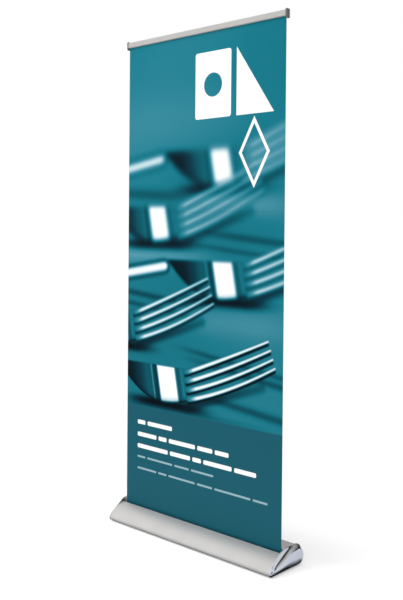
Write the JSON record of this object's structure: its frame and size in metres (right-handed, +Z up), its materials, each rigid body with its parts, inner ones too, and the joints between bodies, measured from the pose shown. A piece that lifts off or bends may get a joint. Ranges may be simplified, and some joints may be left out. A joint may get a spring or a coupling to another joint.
{
  "type": "roll-up banner stand",
  "caption": "Free-standing retractable banner: a printed film is drawn up out of a sprung floor cassette and held open by a telescopic pole.",
  "frame": {"origin": "centre of the whole stand at floor level", "axes": "+X across the banner to the viewer's right, +Y from the printed face to the back, +Z up"},
  "size_m": [0.9, 0.212, 2.0915],
  "materials": {
    "anodised_aluminium": "satin clear anodised extrusion",
    "chromed_zinc": "polished chrome plate on a die casting",
    "zinc_plated_steel": "bright zinc plate",
    "spring_steel": "oiled spring wire",
    "black_coated_steel": "matt black powder coat",
    "black_nylon": "moulded nylon, lightly textured",
    "grey_plastic": "moulded ABS, satin grey",
    "black_rubber": "matt rubber",
    "printed_film": "satin printed polyester film"
  },
  "bodies": {
    "base": {"base_extrusion": "anodised_aluminium", "end_cap_left": "chromed_zinc", "end_cap_right": "chromed_zinc", "end_plate_left": "zinc_plated_steel", "end_plate_right": "zinc_plated_steel", "roller_bracket_left": "black_nylon", "roller_bracket_right": "black_nylon", "end_plate_screws": "zinc_plated_steel", "floor_plate": "black_coated_steel", "foot_inserts": "zinc_plated_steel", "pole_socket": "black_nylon", "socket_screws": "zinc_plated_steel", "slot_strip": "black_rubber", "spring_rod": "zinc_plated_steel", "torsion_spring": "spring_steel", "idle_pin": "zinc_plated_steel", "pole_tube_lower": "anodised_aluminium", "pole_foot_plug": "black_nylon", "film_lower": "printed_film"},
    "roller": {"roller_tube": "anodised_aluminium", "wound_film": "printed_film", "roller_plug_left": "black_nylon", "roller_plug_right": "black_nylon", "spring_anchor": "black_nylon"},
    "pole_middle": {"pole_tube_middle": "anodised_aluminium", "guide_bush_middle": "black_nylon"},
    "pole_upper": {"pole_tube_upper": "anodised_aluminium", "guide_bush_upper": "black_nylon", "pole_hook": "black_nylon"},
    "collar_lower": {"twist_collar_lower": "black_nylon"},
    "collar_upper": {"twist_collar_upper": "black_nylon"},
    "top_rail": {"rail_back": "anodised_aluminium", "rail_cap_left": "grey_plastic", "rail_cap_right": "grey_plastic", "grip_strip_back": "black_rubber", "hook_receiver": "black_nylon", "film_upper": "printed_film"},
    "rail_jaw": {"rail_front": "anodised_aluminium", "grip_strip_front": "black_rubber"},
    "foot_front_left": {"foot_stud_front_left": "zinc_plated_steel", "foot_pad_front_left": "black_rubber"},
    "foot_rear_left": {"foot_stud_rear_left": "zinc_plated_steel", "foot_pad_rear_left": "black_rubber"},
    "foot_front_right": {"foot_stud_front_right": "zinc_plated_steel", "foot_pad_front_right": "black_rubber"},
    "foot_rear_right": {"foot_stud_rear_right": "zinc_plated_steel", "foot_pad_rear_right": "black_rubber"}
  },
  "joints": [
    {"name": "banner_draw", "type": "slide", "parent": "base", "child": "top_rail", "axis": [0, 0, 1], "range_m": [-1.2, 0], "deforming": ["film_lower"]},
    {"name": "pole_middle_slide", "type": "slide", "parent": "base", "child": "pole_middle", "axis": [0, 0, 1], "range_m": [-0.6, 0]},
    {"name": "pole_upper_slide", "type": "slide", "parent": "pole_middle", "child": "pole_upper", "axis": [0, 0, 1], "range_m": [-0.6, 0]},
    {"name": "roller_turn", "type": "hinge", "parent": "base", "child": "roller", "pos_m": [0, -0.0311, 0.03603], "axis": [1, 0, 0], "range_deg": [-4650, 0]},
    {"name": "rail_jaw_open", "type": "hinge", "parent": "top_rail", "child": "rail_jaw", "pos_m": [0, -0.016, 2.085], "axis": [-1, 0, 0], "range_deg": [0, 70]},
    {"name": "collar_lower_twist", "type": "hinge", "parent": "base", "child": "collar_lower", "pos_m": [0, 0.016, 0.75], "axis": [0, 0, 1], "range_deg": [0, 90]},
    {"name": "collar_upper_twist", "type": "hinge", "parent": "pole_middle", "child": "collar_upper", "pos_m": [0, 0.016, 1.4], "axis": [0, 0, 1], "range_deg": [0, 90]},
    {"name": "foot_front_left_level", "type": "slide", "parent": "base", "child": "foot_front_left", "axis": [0, 0, 1], "range_m": [-0.008, 0]},
    {"name": "foot_rear_left_level", "type": "slide", "parent": "base", "child": "foot_rear_left", "axis": [0, 0, 1], "range_m": [-0.008, 0]},
    {"name": "foot_front_right_level", "type": "slide", "parent": "base", "child": "foot_front_right", "axis": [0, 0, 1], "range_m": [-0.008, 0]},
    {"name": "foot_rear_right_level", "type": "slide", "parent": "base", "child": "foot_rear_right", "axis": [0, 0, 1], "range_m": [-0.008, 0]}
  ],
  "couplings": [
    {"joint": "pole_middle_slide", "follows": "banner_draw", "ratio": 0.5},
    {"joint": "pole_upper_slide", "follows": "banner_draw", "ratio": 0.5},
    {"joint": "roller_turn", "follows": "banner_draw", "rad_per_m": 67.568}
  ]
}
